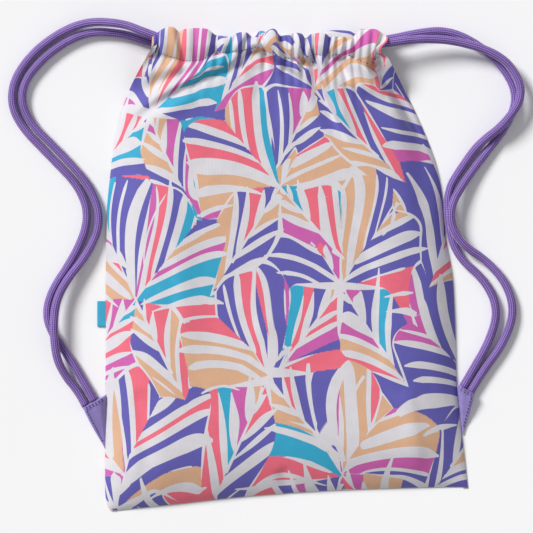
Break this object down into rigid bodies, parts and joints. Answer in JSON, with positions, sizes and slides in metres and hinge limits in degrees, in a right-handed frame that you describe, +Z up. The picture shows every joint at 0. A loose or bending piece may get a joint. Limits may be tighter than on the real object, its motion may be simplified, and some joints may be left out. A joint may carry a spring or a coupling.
{
  "type": "drawstring backpack",
  "caption": "Flat drawstring backpack in printed cloth with a gathered channel mouth and braided cord shoulder straps sewn to corner tabs.",
  "frame": {"origin": "bottom centre of the bag's box, measured without the free cord strands", "axes": "+Z up from the back panel to the front panel, +Y towards the gathered mouth, +X towards the right strap"},
  "size_m": [0.4818, 0.46, 0.028],
  "materials": {
    "print_cloth": "woven polyester with a palm frond print",
    "cord_braid": "ribbed braid",
    "tab_twill": "twill",
    "thread": "sewing thread",
    "label_ribbon": "woven ribbon"
  },
  "bodies": {
    "root": {"back_panel": "print_cloth", "front_panel": "print_cloth", "left_side_seam": "print_cloth", "right_side_seam": "print_cloth", "bottom_seam": "print_cloth", "back_channel": "print_cloth", "back_channel_stitching": "thread", "left_cord_back_run": "cord_braid", "right_cord_back_run": "cord_braid", "left_cord_turn": "cord_braid", "right_cord_turn": "cord_braid"},
    "front_lip": {"front_channel": "print_cloth", "front_channel_stitching": "thread", "left_mouth_bartack": "thread", "right_mouth_bartack": "thread", "left_cord_front_run": "cord_braid", "right_cord_front_run": "cord_braid"},
    "left_strap": {"left_cord_front_strand": "cord_braid", "left_cord_back_strand": "cord_braid", "left_tab": "tab_twill", "left_tab_stitching": "thread"},
    "right_strap": {"right_cord_front_strand": "cord_braid", "right_cord_back_strand": "cord_braid", "right_tab": "tab_twill", "right_tab_stitching": "thread"},
    "label": {"label_tag": "label_ribbon"}
  },
  "joints": [
    {"name": "mouth_open", "type": "hinge", "parent": "root", "child": "front_lip", "pos_m": [0, 0.198, 0.0274], "axis": [1, 0, 0], "range_deg": [0, 18]},
    {"name": "left_strap_swing", "type": "hinge", "parent": "root", "child": "left_strap", "pos_m": [-0.126, 0.2195, 0.022], "axis": [0.0988, 0.9939, 0.0494], "range_deg": [0, 100]},
    {"name": "right_strap_swing", "type": "hinge", "parent": "root", "child": "right_strap", "pos_m": [0.1095, 0.21, 0.022], "axis": [0.1746, -0.9833, -0.0519], "range_deg": [0, 100]},
    {"name": "label_flap", "type": "hinge", "parent": "root", "child": "label", "pos_m": [-0.162, -0.041, 0.00065], "axis": [0, 1, 0], "range_deg": [0, 100]}
  ]
}
